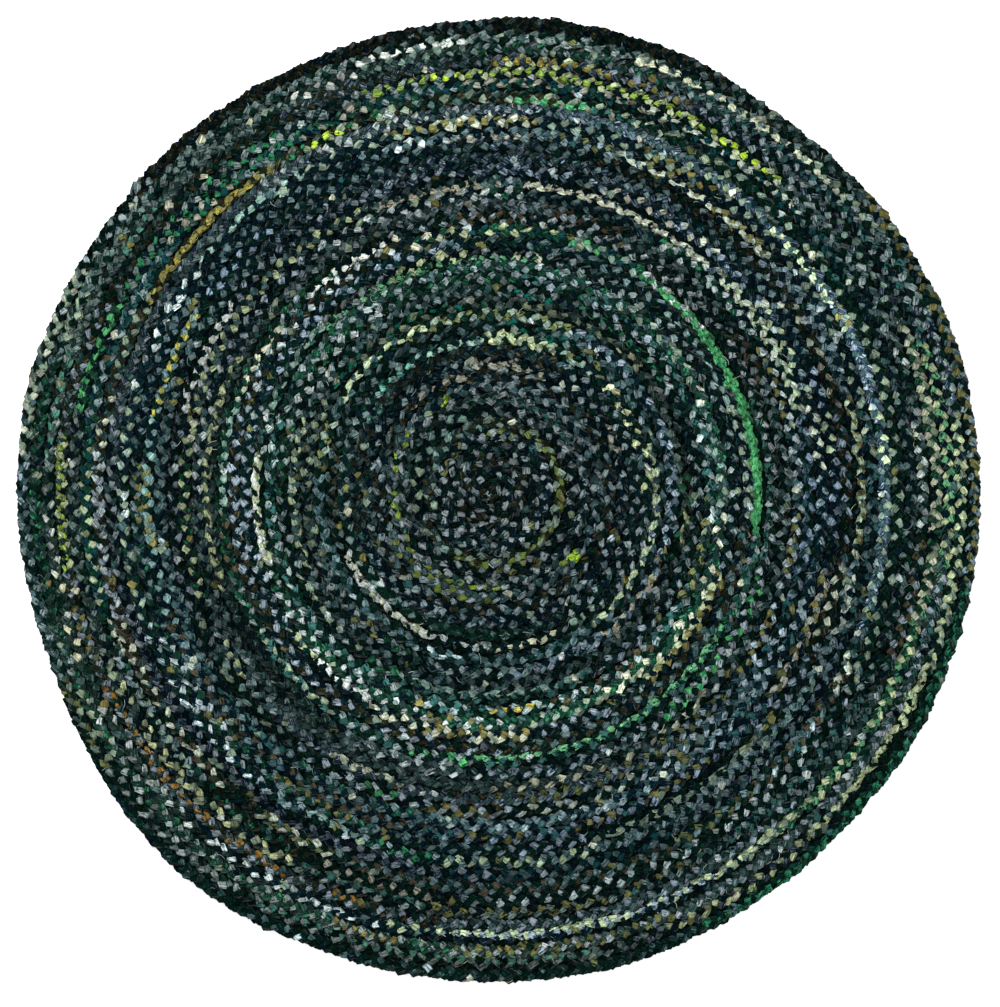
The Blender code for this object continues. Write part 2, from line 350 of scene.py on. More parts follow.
# Where a strand was held tighter than the others it lies on top of them as one wavy line. The
# fraction of its turn tells how far across the row it lies, from the outer seam.
LINES = ({
    "mint": (
        (8.2, 120, 142), (9.3, 317, 331), (9.8, 239, 249), (16.6, 160, 184), (18.7, 21, 47),
        (19.3, 135, 160), (20.8, 4, 23), (22.9, 243, 298), (23.9, 359, 23), (26.4, 47, 65),
        (26.7, 298, 315), (26.8, 91, 118), (33.3, 220, 243),
    ),
    "leaf": ((17.8, 266, 331),),
    "grass": ((4.2, 153, 169), (17.9, 351, 38)),
    "sage": ((10.1, 285, 317), (17.6, 211, 233), (18.4, 353, 21), (22.8, 203, 222), (23.5, 50, 82)),
    "straw": (
        (1.7, 333, 339), (1.8, 312, 330), (3.9, 260, 315), (7.8, 29, 44), (9.3, 350, 16),
        (14.5, 207, 217), (15.1, 151, 200), (19.8, 309, 340), (19.9, 214, 224), (22.4, 158, 203),
        (23.2, 343, 355), (24.3, 112, 151), (25.8, 305, 20),
    ),
    "gold": ((6.5, 127, 149),),
    "tan": (
        (5.2, 68, 95), (9.9, 84, 99), (11.4, 324, 347), (13.9, 89, 114), (24.3, 307, 338),
        (28.4, 12, 31), (28.8, 66, 99), (29.2, 99, 137),
    ),
    "cream": (
        (1.8, 42, 72), (5.2, 43, 68), (5.8, 197, 203), (9.1, 337, 348), (9.6, 40, 70), (13.8, 47, 85),
        (14.7, 237, 253), (15.3, 303, 318), (16.8, 141, 160), (23.3, 40, 50), (26.5, 269, 296),
    ),
    "white": (
        (1.9, 93, 108), (12.7, 144, 165), (14.5, 254, 260), (16.9, 113, 133), (19.2, 171, 197),
        (19.9, 224, 240), (24.5, 292, 299), (26.7, 203, 250),
    ),
    "off_white": ((3.2, 245, 253), (25.3, 245, 264), (26.6, 250, 269)),
    "pale_denim": ((1.8, 72, 89),),
    "pale_blue": ((7.5, 82, 94), (30.2, 326, 345), (31.5, 355, 23)),
    "denim_blue": ((8.5, 317, 338),),
}, {
    "teal": (
        (5.9, 241, 261), (6.6, 68, 76), (12.2, 203, 231), (13.8, 329, 345), (13.8, 355, 7),
        (16.8, 345, 23), (21.1, 30, 64), (21.3, 72, 84), (31.7, 25, 85),
    ),
    "sea": ((22.8, 72, 84), (23.2, 104, 123), (23.2, 130, 149)),
    "jade": ((1.7, 240, 283), (2.4, 161, 175), (2.5, 137, 147), (26.8, 121, 138), (27.2, 142, 151)),
    "emerald": ((0.3, 296, 349), (22.5, 33, 66)),
    "leaf": ((19.9, 80, 137),),
    "grass": ((6.8, 76, 88), (17.6, 351, 57)),
    "sage": ((3.8, 300, 315), (6.5, 206, 222)),
    "olive": ((34.6, 123, 173),),
    "lime": (
        (3.3, 172, 190), (4.4, 48, 49), (4.4, 58, 94), (4.4, 99, 108), (30.5, 182, 200),
        (30.6, 160, 172), (30.7, 141, 153),
    ),
    "moss": (
        (30.8, 305, 316), (31.1, 266, 275), (31.2, 206, 255), (33.1, 243, 307), (33.3, 307, 23),
        (33.6, 23, 60), (34.1, 60, 98),
    ),
    "bright_lime": ((4.4, 49, 58), (4.4, 94, 99), (6.6, 112, 118), (30.7, 114, 127), (31.1, 255, 266)),
    "straw": ((1.8, 318, 337), (19.3, 171, 197)),
    "mustard": ((9.2, 350, 16),),
    "gold": (
        (0.3, 350, 9), (2.4, 249, 258), (3.6, 64, 73), (6.5, 123, 127), (8.4, 84, 106), (9.7, 177, 185),
        (10.2, 312, 322), (10.4, 175, 189), (10.8, 232, 247), (11.6, 263, 270), (11.6, 283, 291),
        (11.6, 296, 312), (14.5, 324, 340), (14.6, 345, 356), (14.6, 14, 30), (24.3, 337, 344),
    ),
    "ochre": ((4.6, 206, 229), (4.6, 232, 241), (4.6, 248, 253)),
    "bright_gold": ((3.5, 75, 90), (6.5, 127, 151), (10.4, 147, 167), (21.5, 269, 285)),
    "brown": ((25.8, 165, 192),),
    "tan": ((13.7, 47, 85),),
    "cream": ((26.7, 203, 250),),
    "pale_blue": ((3.8, 262, 300),),
}, {
    "grass": ((17.7, 351, 50),),
})

# How much lighter or darker the lobes of one strip are painted, as powers of e: uneven colour, and
# painted shade for how each lobe faces
LOBE_SHADE = 0.05
LOBE_SHADE_SPREAD = (0.34, 0.34, 0.30)
LEVEL_SHADE = 0.24      # painted light: where a strand lies with its face up it is painted paler
LEVEL_SHADE_SPREAD = 0.15  # and more even
PALEST_LOBE = 1.25

# How the cloths are dyed from turn to turn: the turn, how blue they are, or how warm where it
# is below zero, and how pale
DYES = (
    (0, 0.04, 0.00), (3, -0.02, 0.02), (6, -0.02, 0.11), (7.5, 0.02, 0.00), (8.5, 0.05, -0.10),
    (9.5, 0.07, 0.04), (11, 0.10, 0.10), (12, 0.12, -0.12), (13.4, 0.05, -0.20),
    (14.5, 0.00, -0.01), (15.8, -0.05, -0.05), (17, -0.08, 0.19), (18, -0.02, 0.18),
    (19.5, 0.05, 0.26), (20.5, 0.08, 0.13), (22, 0.05, 0.11), (23, 0.02, 0.18),
    (24.3, -0.02, 0.34), (26.8, 0.00, 0.40), (28, 0.02, -0.02), (31.7, 0.04, -0.15),
    (33, 0.02, 0.13), (34.3, 0.00, 0.12), (35.5, -0.02, -0.03), (39, -0.02, -0.10),
)
BLUER = np.array([-0.5, 0.0, 0.6])  # what a bluer dye does to red, green and blue

# ---- cloth patterns

# Spots of a pattern in each metre along the braid, in each metre across the rag, and from one
# strand to the next
FACETS = (270.0, 400.0, 7.0)
STREAKS = (110.0, 640.0, 7.0)
CREASES = (85.0, 430.0, 11.0)
YARN_SPACING = 0.0013   # of the weave

# From where to where a pattern's value, or the distance from the rag's middle, takes effect
FADED_STREAKS = (0.50, 0.58)
RUBBED_STREAKS = (0.46, 0.54)
SMOOTH_CLOTH = (0.36, 0.60)  # below it the cloth is creased
RAG_EDGE = (0.0040, 0.0066)
MOST_RUBBED = 0.10      # how much worn thread shows at a rubbed edge
MOST_TUCKED = 0.72      # share of the facets that lie in the shade at a lobe's border

# Shades and roughness at a share of 0 and of 1
# The crease, facet and tucked shades are painted shade and light: darker creases, lit and shaded facets
# of crumpled cloth, and facets tucked in shade at a lobe's border
CREASE_SHADES = (0.55, 1.10)
FACET_SHADES = (0.72, 1.48)
TUCKED_SHADES = (1.00, 0.35)
WEAVE_SHADES = (0.92, 1.17)
RAG_ROUGHNESS = (0.98, 0.86)
WEAVE_RELIEF, STREAK_RELIEF = 0.12, 0.30  # heights, as shares of the creases'
RAG_BUMP = 0.0025
WORN = (186, 196, 190)  # threads that show where a fold is rubbed through

CORE_SPOTS = 220.0      # folds in each metre of the core
CORE_FOLDS = (0.4, 0.6)
# colours of the core's painted shade
CORE_DARK, CORE_LIGHT = (2, 9, 8), (10, 26, 23)
CORE_ROUGHNESS = (0.9, 1.0)
CORE_BUMP = 0.002
PLY_SPOTS = 900.0       # in each metre of loose yarn
PLY_SHADES = (0.7, 1.3)
YARN_ROUGHNESS = (0.8, 1.0)
YARN_BUMP = 0.0005
SHEEN = 0.01

# ---- camera and light

# The camera sees this much at the height of the rug, as the photograph does
PHOTO_HEIGHT = 1007
METRES_PER_PIXEL = 0.001551
FRAME_MIDDLE = (0.0023, -0.0054)
CAMERA_HEIGHT = 6.0
SENSOR_MM = 36
FARTHEST_SEEN = 100

Light = namedtuple("Light", "name place size power")
LIGHTS = (
    Light("key", (-2.4, 2.6, 3.2), 2.0, 165),
    Light("fill", (2.5, -1.5, 4.0), 3.0, 45),
)
SKY_STRENGTH = 0.68
FLOOR_HALF = 40.0
FLOOR_GREY = 0.96
FLOOR_GLOW = 0.45


def smooth(share):
    """Eases a share from 0 to 1."""
    share = np.clip(share, 0.0, 1.0)
    return share * share * (3 - 2 * share)


def unit(vectors):
    """The directions of vectors."""
    return vectors / np.linalg.norm(vectors, axis=-1, keepdims=True)


# ---- the coil

def edge_wobble(degrees):
    """How far the outline strays outward at each angle."""
    degrees = degrees % 360
    marks, outs = np.array(EDGE_WOBBLE).T
    outs = outs / 1000
    before = np.clip(np.searchsorted(marks, degrees, side="right") - 1, 0, len(marks) - 2)
    share = (degrees - marks[before]) / (marks[before + 1] - marks[before])
    return outs[before] + (outs[before + 1] - outs[before]) * smooth(share)


def braid_width(place):
    """Share of its full width that the braid has at each place."""
    return np.maximum(THINNEST, np.minimum(1.0, place / TAPER_TURNS))


def row_middle(place):
    """The middle line of the braid in plan."""
    radius = ROW_PITCH * (TURNS - 0.5 - place + braid_width(place) / 2)
    degrees = END_DEG + 360 * place
    share = radius / COIL_RADIUS
    reach = radius + edge_wobble(degrees) * share ** WOBBLE_FADE
    x = COIL_START[0] + COIL_DRIFT[0] * share + reach * np.cos(np.radians(degrees))
    y = COIL_START[1] + COIL_DRIFT[1] * share + reach * np.sin(np.radians(degrees))
    return np.stack([x, y, np.zeros_like(x)], axis=-1)


def row_outward(place):
    """The direction away from the coil's middle, square to the braid."""
    ahead = unit(row_middle(place + NEARBY) - row_middle(place - NEARBY))
    return np.stack([ahead[..., 1], -ahead[..., 0], ahead[..., 2]], axis=-1)


def place_at(length):
    """The place that lies a length of braid in from the outer end."""
    left = TURNS ** 2 - length / (math.pi * ROW_PITCH)
    return TURNS - np.sqrt(np.maximum(left, 0.0))


# ---- stretches of the braid

Strip = namedtuple("Strip", "turn from_deg to_deg cloth")


def strips_of(table, strand):
    """A strand's strips in a table that is ordered by strand and cloth."""
    return [Strip(*row, cloth) for cloth, rows in table[strand].items() for row in rows]


def covers(strip, place):
    """Whether a strip lies over each place; one that ends at END_DEG runs to its turn's end."""
    turn = math.floor(strip.turn)
    first = turn + ((strip.from_deg - END_DEG) % 360) / 360
    last = turn + ((strip.to_deg - END_DEG) % 360 or 360) / 360
    return (place >= first) & (place < last)


def drifting(rng, at, drift):
    """A value that wanders along the braid, with a new random target every so often."""
    marks = np.arange(0.0, BRAID_LENGTH + 2 * drift.spacing, drift.spacing)
    return np.interp(at, marks, rng.normal(0.0, drift.spread, len(marks)))


# ---- strands

def pulled(even):
    """Length along the braid once it is drawn tight and loose by turns."""
    along = np.array(even)
    for pull in PULLS:
        waves = math.tau / pull.wave_length
        along += pull.share / waves * np.sin(even * waves + pull.phase)
    return along


def strand_rings(strand):
    """Turning angle of a strand at each of its rings, and how far along the braid it is."""
    lead = math.tau * strand / STRANDS
    halves = np.arange(-1, int(2 * SPARE_TURNS * BRAID_LENGTH / PERIOD))
    turning = (halves[:, None] * math.pi + np.radians(RING_PLACES_DEG)[None, :]).ravel()
    along = pulled((turning - lead) * PERIOD / math.tau)
    keep = (along > FIRST_RING) & (along < BRAID_LENGTH)
    return turning[keep], along[keep]


def blended_by_lobe(rng, turning, spread):
    """A random value for each lobe, blended from one lobe to the next."""
    lobes = np.arange(turning[0] // math.pi - 1, turning[-1] // math.pi + 3)
    middles = (lobes + LOBE_MIDDLE) * math.pi
    return np.interp(turning, middles, rng.normal(0.0, spread, len(lobes)))


def lobe_number(turning):
    """Counts the lobes of a strand; the number changes where the strand is hidden."""
    number = np.floor((turning - LOBE_END) / math.pi).astype(int)
    return number - number[0]


def seclusion(turning, level):
    """How far each ring lies towards the hidden end of its lobe, from 0 to 1."""
    from_middle = np.abs((turning / math.pi + (0.5 - LOBE_MIDDLE)) % 1 - 0.5) * 2
    return smooth((from_middle - HIDING_START) / HIDING_LENGTH) * (1 - LEVEL_SHOWS * level)


def flip(turning):
    """Angle of a strand's flat side: level on both faces, upright where it folds at a side."""
    folded = np.clip(np.cos(turning) / FOLD_REACH, -1, 1)
    return math.pi / 2 * (1 - np.sin(math.pi / 2 * folded))


def height(turning):
    """Height of a strand: 1 on the top face, -1 on the underside, with short steep dives."""
    return np.clip(-DIVE_STEEPNESS * np.sin(2 * turning), -1, 1)


Stance = namedtuple("Stance", "proud straight aside level")


def strand_stance(strand, along, rng):
    """How a strand lies at each ring: on top, straight, to the side, and with its face up."""
    proud = np.clip(drifting(rng, along, PROUD_DRIFT), 0.0, MOST_PROUD_ELSEWHERE)
    straight = np.zeros_like(along)
    aside = np.zeros_like(along)
    place = place_at(along)
    for line in strips_of(LINES, strand):
        there = covers(line, place)
        proud[there] = PROUDEST[strand]
        straight[there] = 1.0
        aside[there] = MOST_ASIDE * (1 - 2 * (line.turn % 1))
    level = np.maximum(proud, STRAIGHT_LEVEL * straight)
    blend = np.ones(STANCE_BLEND) / STANCE_BLEND
    return Stance(*(np.convolve(share, blend, mode="same")
                    for share in (proud, straight, aside, level)))


def strand_frame(turning, along, stance, slide, lift):
    """Middle line of a strand, and the two directions across it."""
    def middle(shift):
        place = place_at(along + shift * PERIOD / math.tau)
        width = braid_width(place)
        swing = SWING * (1 - (1 - STRAIGHT_SWING) * stance.straight)
        side = (swing * np.sin(turning + shift) + slide) * width
        dive = DIVE * (1 - (1 - PROUD_DIVE) * stance.proud) * height(turning + shift)
        rise = (dive + PROUD_RISE * stance.proud) * width + lift
        point = row_middle(place) + row_outward(place) * side[:, None]
        point[:, 2] += RUG_HEIGHT / 2 + rise
        return point

    ahead = unit(middle(AHEAD) - middle(-AHEAD))
    across = unit(np.cross((0.0, 0.0, 1.0), ahead))
    return middle(0.0), across, np.cross(ahead, across)


def section_unevenness(rng, turning):
    """Each lobe's own crooked section, and small creases at each ring."""
    of_lobe = [blended_by_lobe(rng, turning, CORNER_SPREAD) for _corner in range(RING_SIDES)]
    crease = rng.normal(0.0, CREASE_SPREAD, (len(turning), RING_SIDES))
    return np.exp(np.stack(of_lobe, axis=1) + crease)


def strand_section(strand, turning, along, stance, rng):
    """Where the section's corners lie at each ring: across the rag, and through it."""
    side_on = np.abs(np.sin(turning)) ** EDGE_POWER * (1 - stance.level)
    narrow = np.sqrt(braid_width(place_at(along))) * STRAND_PLUMPNESS[strand]
    narrow *= 1 - TIGHTNESS * stance.straight
    plump = np.exp(blended_by_lobe(rng, turning, PLUMP_SPREAD)) * narrow
    thick = np.exp(blended_by_lobe(rng, turning, THICK_SPREAD)) * narrow
    half_width = RAG_HALF_WIDTH + (EDGE_HALF_WIDTH - RAG_HALF_WIDTH) * side_on
    half_thick = RAG_HALF_THICKNESS + (EDGE_HALF_THICKNESS - RAG_HALF_THICKNESS) * side_on
    corner = np.radians(CORNERS_DEG)
    uneven = section_unevenness(rng, turning)
    wide = (half_width * plump)[:, None] * np.cos(corner) * uneven
    high = (half_thick * thick)[:, None] * np.sin(corner) / np.sin(corner).max() * uneven
    return wide, high


def row_strays(along):
    """How far the whole braid strays to the side and up, the same for its three strands."""
    rng = np.random.default_rng(ROW_SEED)
    slide = drifting(rng, along, ROW_SLIDE) + drifting(rng, along, ROW_QUICK_SLIDE)
    return slide, drifting(rng, along, ROW_LIFT)


def strand_skin(strand, turning, along, stance, rng):
    """Points of a strand's skin, ring by ring, and how far each lies across the rag."""
    row_slide, row_lift = row_strays(along)
    slide = blended_by_lobe(rng, turning, SLIDE_SPREAD) + row_slide + stance.aside
    lift = blended_by_lobe(rng, turning, LIFT_SPREAD) + row_lift
    point, across, up = strand_frame(turning, along, stance, slide, lift)
    wide, high = strand_section(strand, turning, along, stance, rng)
    tilt = flip(turning) * (1 - stance.level) + blended_by_lobe(rng, turning, TILT_SPREAD)
    angle = tilt[:, None]
    sideways = wide * np.cos(angle) - high * np.sin(angle)
    upward = wide * np.sin(angle) + high * np.cos(angle)
    skin = (
        point[:, None, :]
        + across[:, None, :] * sideways[:, :, None]
        + up[:, None, :] * upward[:, :, None]
    )
    skin[:, :, 2] = np.clip(skin[:, :, 2], FLOOR_GAP, RUG_HEIGHT + MOST_RISE)
    return skin, wide


# ---- colours

def linear(red, green, blue):
    """Linear colour of an sRGB colour given in bytes."""
    share = np.array([red, green, blue]) / 255
    return np.where(share <= 0.04045, share / 12.92, ((share + 0.055) / 1.055) ** 2.4)


def picked_cloths(odds, count, rng):
    """Numbers of cloths picked by their odds."""
    cloths = [CLOTH_NUMBER[name] for name in odds]
    shares = np.array(list(odds.values()), float)
    return rng.choice(cloths, size=count, p=shares / shares.sum())


def random_strips(strand, along, rng):
    """Numbers of the cloths sewn end to end into a strand, one for each ring."""
    count = int(BRAID_LENGTH / SHORTEST_STRIP) + 1
    ends = np.cumsum(rng.uniform(SHORTEST_STRIP, LONGEST_STRIP, count))
    return picked_cloths(STRAND_ODDS[strand], count, rng)[np.searchsorted(ends, along)]


def strand_cloths(strand, lobe, along, level, rng):
    """Numbers of a strand's cloths: random strips, those that stand out, and odd lobes."""
    cloths = random_strips(strand, along, rng)
    place = place_at(along)
    for cloth, turns in WHOLE_TURNS[strand].items():
        cloths[np.isin(np.floor(place), turns)] = CLOTH_NUMBER[cloth]
    for strip in strips_of(ACCENTS, strand) + strips_of(LINES, strand):
        cloths[covers(strip, place)] = CLOTH_NUMBER[strip.cloth]
    lobes = lobe[-1] + 1
    odd = (rng.uniform(0.0, 1.0, lobes) < ODD_LOBES)[lobe] & (level < ODD_BELOW_LEVEL)
    return np.where(odd, picked_cloths(ODD_ODDS, lobes, rng)[lobe], cloths)


def fading_and_dye(along):
    """Factors of red, green and blue in each stretch of the braid, the same for all strands."""
    rng = np.random.default_rng(FADE_SEED)
    turns, blues, pales = np.array(DYES).T
    place = place_at(along)
    faded = np.interp(place, turns, pales) + drifting(rng, along, FADE_DRIFT)
    blue = np.interp(place, turns, blues) + drifting(rng, along, DYE_DRIFT)
    return np.exp(faded[:, None] + blue[:, None] * BLUER)


Cloth = namedtuple("Cloth", "main print grain")


def cloth_looks(strand, turning, along, level, rng):
    """Main colour and print colour of a strand's cloth, both with painted light and shade by lobe, and
    the print's cover, the streaks and the mask of painted shade at lobe ends, at each of its rings.
    """
    lobe = lobe_number(turning)
    which = strand_cloths(strand, lobe, along, level, rng)
    mains = np.array([linear(rag.red, rag.green, rag.blue) for rag in RAGS.values()])
    prints = mains[[CLOTH_NUMBER[rag.print] for rag in RAGS.values()]]
    cover_and_streak = np.array([(rag.cover, rag.streak) for rag in RAGS.values()])[which]
    # print cover, streaks, and how far towards a lobe's hidden end each ring lies, where shade is
    # painted
    grain = np.column_stack([cover_and_streak, seclusion(turning, level)])
    # Each lobe is painted lighter or darker at random, for uneven colour and as painted shade for how
    # it faces; where a strand lies face up on top it is painted paler and more even, as painted light
    spread = LOBE_SHADE_SPREAD[strand] + (LEVEL_SHADE_SPREAD - LOBE_SHADE_SPREAD[strand]) * level
    uneven = spread * rng.normal(0.0, 1.0, lobe[-1] + 1)[lobe]
    shade = np.minimum(np.exp(LOBE_SHADE + LEVEL_SHADE * level + uneven), PALEST_LOBE)
    shade = shade[:, None] * fading_and_dye(along)
    return Cloth(mains[which] * shade, prints[which] * shade, grain)


# ---- meshes

def tube_faces(tubes, rings, sides):
    """Four-sided faces between neighbouring rings of like tubes, and the tubes' end faces."""
    ring = np.arange(rings - 1)[:, None] * sides
    side = np.arange(sides)[None, :]
    after = (side + 1) % sides
    quads = np.stack([ring + side, ring + after, ring + sides + after, ring + sides + side],
                     axis=2).reshape(1, -1, 4)
    far_ring = (rings - 1) * sides
    ends = np.stack([np.arange(sides)[::-1], far_ring + np.arange(sides)])[None]
    shift = np.arange(tubes)[:, None, None] * rings * sides
    return (quads + shift).reshape(-1, 4), (ends + shift).reshape(-1, sides)


def tube_mesh(name, skins):
    """One mesh of closed tubes; skins are points by tube, ring and side."""
    tubes, rings, sides = skins.shape[:3]
    quads, ends = tube_faces(tubes, rings, sides)
    mesh = bpy.data.meshes.new(name)
    mesh.vertices.add(tubes * rings * sides)
    mesh.vertices.foreach_set("co", skins.astype(np.float32).ravel())
    mesh.loops.add(quads.size + ends.size)
    corners = np.append(quads, ends)
    mesh.loops.foreach_set("vertex_index", corners.astype(np.int32))
    starts = np.append(np.arange(len(quads)) * 4, quads.size + np.arange(len(ends)) * sides)
    mesh.polygons.add(len(starts))
    mesh.polygons.foreach_set("loop_start", starts.astype(np.int32))
    mesh.update(calc_edges=True)
    mesh.shade_smooth()
    return mesh


def store(mesh, name, values):
    """Keeps three numbers for each point of a mesh."""
    layer = mesh.attributes.new(name, "FLOAT_VECTOR", "POINT")
    layer.data.foreach_set("vector", values.astype(np.float32).ravel())


def on_ring(values):
    """The same three numbers at each side of a ring."""
    return np.repeat(values[:, None, :], RING_SIDES, axis=1)


def lay_out_skin(mesh, rings):
    """A texture layout of a strand: its skin, cut open, in rows one above the other."""
    in_row = math.ceil((rings - 1) / BAKE_ROWS)
    ring = np.arange(rings - 1)[:, None, None]
    side = np.arange(RING_SIDES)[None, :, None]
    rightward = (ring % in_row + np.array([0, 0, 1, 1])) / in_row
    around = (side + np.array([0, 1, 1, 0])) / RING_SIDES
    upward = (ring // in_row + BAKE_MARGIN + (1 - 2 * BAKE_MARGIN) * around) / BAKE_ROWS
    spots = np.stack(np.broadcast_arrays(rightward, upward), axis=3).reshape(-1, 2)
    ends = np.zeros((2 * RING_SIDES, 2))
    layout = mesh.uv_layers.new(name="OFBake")
    layout.uv.foreach_set("vector", np.concatenate([spots, ends]).astype(np.float32).ravel())


def add_piece(name, mesh, material):
    """Puts a mesh in the scene as a piece of its own."""
    mesh.materials.append(material)
    piece = bpy.data.objects.new(name, mesh)
    bpy.context.collection.objects.link(piece)
    return piece


def strand_piece(name, skin, looks, cloth, cut, material):
    """The piece that a stretch of a strand makes."""
    mesh = tube_mesh(name, skin[None, cut])
    store(mesh, "rag_colour", on_ring(looks.main[cut]))
    store(mesh, "rag_print", on_ring(looks.print[cut]))
    store(mesh, "grain", on_ring(looks.grain[cut]))
    store(mesh, "cloth", cloth[cut])
    lay_out_skin(mesh, cut.stop - cut.start)
    mesh.set_sharp_from_angle(angle=math.radians(SHARP_DEG))
    return add_piece(name, mesh, material)


def add_strand(strand, material):
    """One strand of the plait, as an outer and an inner stretch."""
    rng = np.random.default_rng(STRAND_SEEDS[strand])
    turning, along = strand_rings(strand)
    stance = strand_stance(strand, along, rng)
    skin, across = strand_skin(strand, turning, along, stance, rng)
    looks = cloth_looks(strand, turning, along, stance.level, rng)
    run = np.repeat(along[:, None], RING_SIDES, axis=1)
    cloth = np.stack([run, across, np.full_like(run, strand)], axis=2)
    half = len(along) // 2
    cuts = {"outer": slice(0, half + 1), "inner": slice(half, len(along))}
    return [strand_piece(f"rag_strand_{strand + 1}_{part}", skin, looks, cloth, cut, material)
            for part, cut in cuts.items()]


def add_core(material):
    """A dark sheet inside the braid, painted shade that closes the small gaps between the strands."""
    shape = bmesh.new()
    shape.from_mesh(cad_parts[NODE].data)
    bmesh.ops.remove_doubles(shape, verts=shape.verts, dist=WELD)
    middle = Vector((*COIL_START, 0.0))
    for vertex in shape.verts:
        away = vertex.co - middle
        reach = away.to_2d().length
        inset = CORE_INSET * min(1.0, reach / COIL_RADIUS)
        shrink = 1 - inset / max(reach, CORE_INSET)
        vertex.co.x = middle.x + away.x * shrink
        vertex.co.y = middle.y + away.y * shrink
        vertex.co.z = CORE_FLOOR + vertex.co.z * CORE_SQUEEZE
    mesh = bpy.data.meshes.new("rag_core_painted_shade")
    shape.to_mesh(mesh)
    shape.free()
    mesh.shade_smooth()
    return add_piece("rag_core_painted_shade", mesh, material)


def thread_starts(rng, on_rim):
    """Where the loose threads begin in plan, and their headings; those at the rim face out."""
    count = len(on_rim)
    place = place_at(rng.uniform(0.0, BRAID_LENGTH, count))
    place[on_rim] = rng.uniform(*RIM_PLACES, RIM_THREADS)
    outward = row_outward(place)
    stray = rng.uniform(-THREAD_STRAY, THREAD_STRAY, count)
    heading = rng.uniform(0.0, math.tau, count)
    facing_out = np.arctan2(outward[:, 1], outward[:, 0])
    heading[on_rim] = facing_out[on_rim] + rng.normal(0.0, RIM_FAN, RIM_THREADS)
    return row_middle(place) + outward * stray[:, None], heading


def thread_steps(rng, heading, on_rim):
    """Steps in plan from point to point of each thread, as it wanders off its heading."""
    count = len(heading)
    bend = rng.normal(0.0, THREAD_BEND, count)
    kinks = rng.normal(0.0, THREAD_KINK, (count, THREAD_POINTS))
    headings = heading[:, None] + np.cumsum(bend[:, None] + kinks, axis=1)
    step = rng.uniform(*THREAD_STEP, count)
    step[on_rim] = rng.uniform(*RIM_STEP, RIM_THREADS)
    return np.stack([np.cos(headings), np.sin(headings)], axis=2) * step[:, None, None]


def thread_heights(rng, on_rim):
    """Heights of the threads' points: low arches on the rug, drooping ends at its rim."""
    share = np.linspace(0.0, 1.0, THREAD_POINTS)
    arch = np.sin(math.pi * share)[None, :]
    top = RUG_HEIGHT + rng.uniform(*THREAD_TOP, len(on_rim))[:, None]
    heights = top - THREAD_ARCH * (1 - arch)
    heights[on_rim] = RUG_HEIGHT - RIM_DEPTH - RIM_DROOP * share ** RIM_DROOP_POWER
    return heights


def thread_paths(rng):
    """Middle lines of the loose threads: most lie on the rug, a few stick out at its rim."""
    on_rim = np.arange(THREADS + RIM_THREADS) >= THREADS
    start, heading = thread_starts(rng, on_rim)
    steps = thread_steps(rng, heading, on_rim)
    paths = np.zeros((len(on_rim), THREAD_POINTS, 3))
    paths[:, :, :2] = start[:, None, :2] + np.cumsum(steps, axis=1)
    paths[:, :, 2] = thread_heights(rng, on_rim)
    return paths


def add_threads(material):
    """Ends of sewing yarn and frayed warp that have worked loose."""
    rng = np.random.default_rng(THREAD_SEED)
    paths = thread_paths(rng)
    ahead = unit(np.gradient(paths, axis=1))
    across = unit(np.cross((0.0, 0.0, 1.0), ahead))
    up = np.cross(ahead, across)
    corner = np.arange(THREAD_SIDES) * math.tau / THREAD_SIDES
    radius = THREAD_RADIUS * np.exp(rng.normal(0.0, RADIUS_SPREAD, len(paths)))
    skins = paths[:, :, None, :] + radius[:, None, None, None] * (
        across[:, :, None, :] * np.cos(corner)[None, None, :, None]
        + up[:, :, None, :] * np.sin(corner)[None, None, :, None]
    )
    mesh = tube_mesh("loose_threads", skins)
    names = rng.choice(list(THREAD_ODDS), len(paths), p=list(THREAD_ODDS.values()))
    colours = np.array([linear(*RAGS[name][:3]) for name in names])
    store(mesh, "rag_colour", np.repeat(colours, THREAD_POINTS * THREAD_SIDES, axis=0))
    return add_piece("loose_threads", mesh, material)


# ---- shader nodes

def add_node(tree, kind, inputs, **settings):
    """Outputs of a new node; each of its inputs is linked to a socket, or set to a value."""
    node = tree.nodes.new("ShaderNode" + kind)
    for name, value in settings.items():
        setattr(node, name, value)
    for name, term in inputs.items():
        if isinstance(term, bpy.types.NodeSocket):
            tree.links.new(term, node.inputs[name])
        else:
            node.inputs[name].default_value = term
    return node.outputs


def calc(tree, operation, *terms):
    """Result of a calculation with numbers."""
    return add_node(tree, "Math", dict(enumerate(terms)), operation=operation)[0]


def between(tree, value, low, high):
    """0 below the low value and 1 above the high one, eased in between."""
    inputs = {"Value": value, "From Min": low, "From Max": high}
    return add_node(tree, "MapRange", inputs, interpolation_type="SMOOTHSTEP")["Result"]


def ranged(tree, share, at_zero, at_one):
    """A number that goes from one value to another as a share goes from 0 to 1."""
    return calc(tree, "MULTIPLY_ADD", share, at_one - at_zero, at_zero)


def mix(tree, share, first, second):
    """Blend of two colours."""
    return add_node(tree, "Mix", {0: share, 6: first, 7: second}, data_type="RGBA")[2]


def attribute(tree, name):
    """The three numbers kept at the mesh's points."""
    return add_node(tree, "Attribute", {}, attribute_name=name)["Vector"]


def parts_of(tree, vector):
    """The three numbers of a vector."""
    return list(add_node(tree, "SeparateXYZ", {0: vector}))


def stretched(tree, vector, per_metre):
    """A vector with its own scale in each direction."""
    return add_node(tree, "VectorMath", {0: vector, 1: per_metre}, operation="MULTIPLY")[0]


def scaled_colour(tree, colour, factor):
    """A colour made darker or lighter."""
    return add_node(tree, "VectorMath", {0: colour, "Scale": factor}, operation="SCALE")[0]


